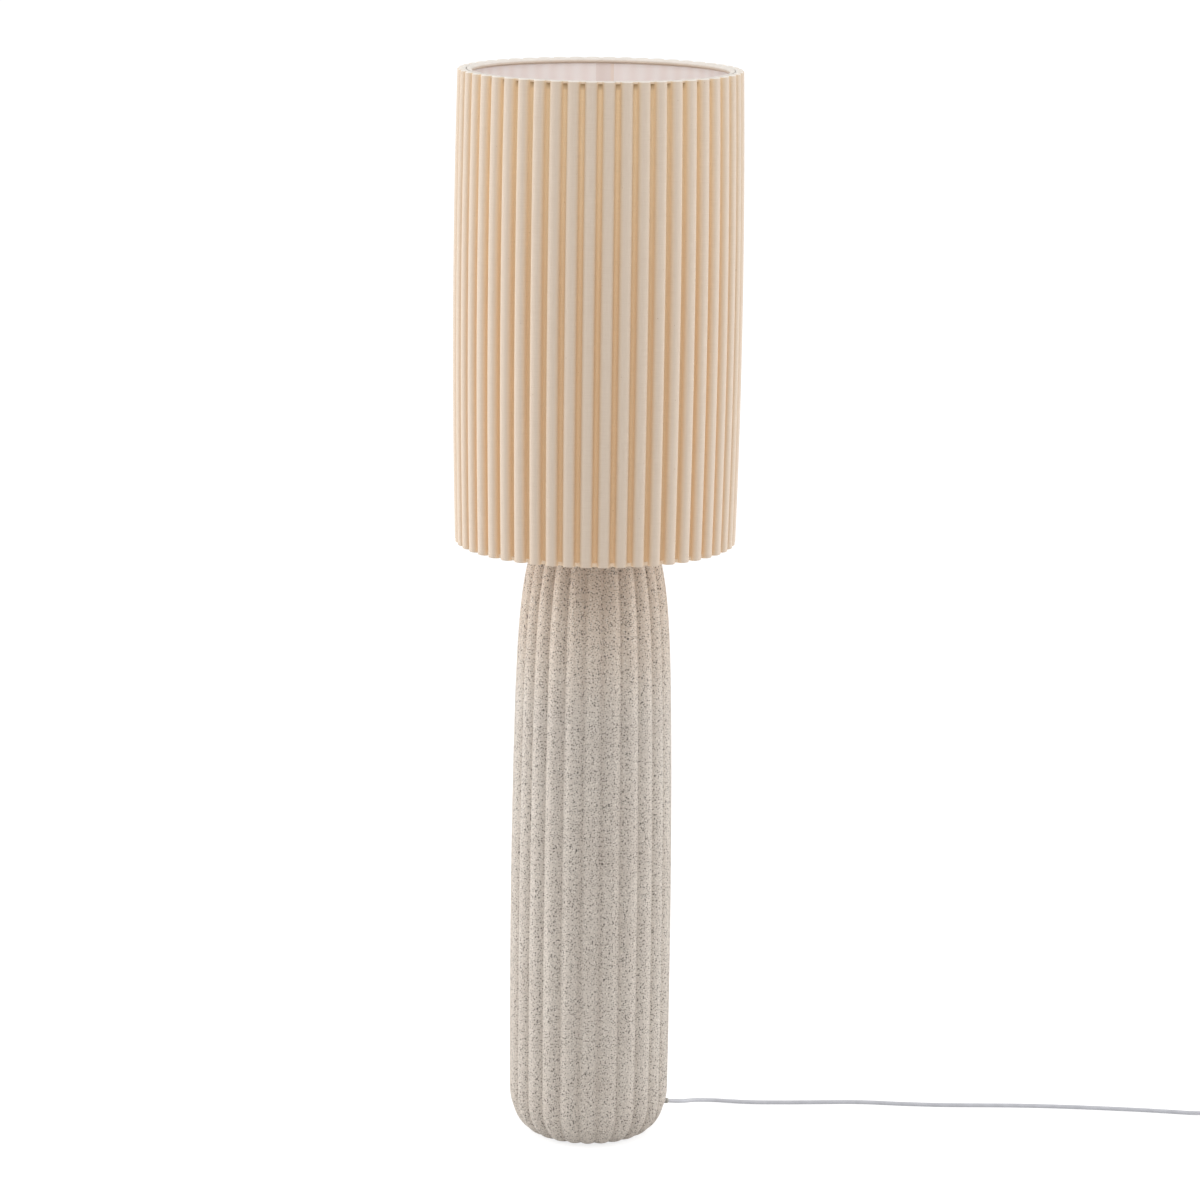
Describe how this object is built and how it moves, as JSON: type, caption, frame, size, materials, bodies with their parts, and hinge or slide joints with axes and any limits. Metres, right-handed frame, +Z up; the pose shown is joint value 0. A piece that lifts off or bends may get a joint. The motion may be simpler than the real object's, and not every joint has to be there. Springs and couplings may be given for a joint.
{
  "type": "floor lamp",
  "caption": "Floor lamp with a tall fluted stoneware body, a pleated drum shade that turns on its lampholder, a screw-in bulb and a mains cord with a foot switch and plug.",
  "frame": {"origin": "on the floor, on the axis of the lamp, under the middle of the felt pad", "axes": "+Z up the lamp's axis, +X to the right in the picture, -Y towards the camera"},
  "size_m": [1.283, 0.357, 1.3561],
  "materials": {
    "stoneware": "matt speckled glaze",
    "pleated_linen": "woven linen",
    "white_lining": "stiff laminated sheet",
    "hem_tape": "woven tape",
    "white_wire": "white powder coat",
    "board": "plain board",
    "felt": "felt",
    "gland_plastic": "moulded",
    "cord_white": "smooth sheath",
    "brass": "plain",
    "steel": "zinc plated",
    "white_plastic": "moulded",
    "black_glass": "black",
    "opal_glass": "opal",
    "rubber_feet": "matt"
  },
  "bodies": {
    "base": {"base_body": "stoneware", "bottom_board": "board", "felt_pad": "felt", "cord_gland": "gland_plastic", "gland_nut": "gland_plastic", "inner_cord": "cord_white", "top_cap": "steel", "lamp_nipple": "brass", "inner_washer": "steel", "inner_nut": "brass", "holder_cap": "white_plastic", "holder_skirt": "white_plastic", "holder_insert": "white_plastic", "screw_shell": "brass", "centre_contact": "brass", "terminal_screws": "brass", "lower_shade_ring": "white_plastic", "upper_shade_ring": "white_plastic", "cord_run": "cord_white", "switch_base": "white_plastic", "switch_cover": "white_plastic", "switch_module": "white_plastic", "switch_screws": "steel", "switch_feet": "rubber_feet", "switch_bushes": "white_plastic", "plug_lead": "cord_white", "cord_coil": "cord_white", "coil_tie": "white_plastic", "plug_bush": "white_plastic", "plug_body": "white_plastic", "plug_pins": "brass"},
    "shade": {"pleated_cover": "pleated_linen", "shade_lining": "white_lining", "shade_carrier": "white_wire", "top_ring": "white_wire", "bottom_hem": "hem_tape", "top_hem": "hem_tape"},
    "bulb_tip": {"bulb_contact": "steel", "bulb_insulator": "black_glass"},
    "bulb": {"bulb_cap": "steel", "bulb_collar": "white_plastic", "bulb_globe": "opal_glass"},
    "button": {"switch_button": "white_plastic", "switch_plunger": "white_plastic"}
  },
  "joints": [
    {"name": "shade_turn", "type": "hinge", "parent": "base", "child": "shade", "pos_m": [0, 0, 0.877], "axis": [0, 0, 1], "continuous": true},
    {"name": "bulb_lift", "type": "slide", "parent": "base", "child": "bulb_tip", "axis": [0, 0, 1], "range_m": [0, 0.01452]},
    {"name": "bulb_turn", "type": "hinge", "parent": "bulb_tip", "child": "bulb", "pos_m": [0, 0, 0.885], "axis": [0, 0, 1], "range_deg": [0, 1440]},
    {"name": "switch_press", "type": "slide", "parent": "base", "child": "button", "axis": [0, 0, -1], "range_m": [0, 0.003], "stiffness_N_per_m": 900, "springref_m": -0.002}
  ],
  "couplings": [
    {"joint": "bulb_lift", "follows": "bulb_turn", "m_per_rad": 0.0005776}
  ]
}
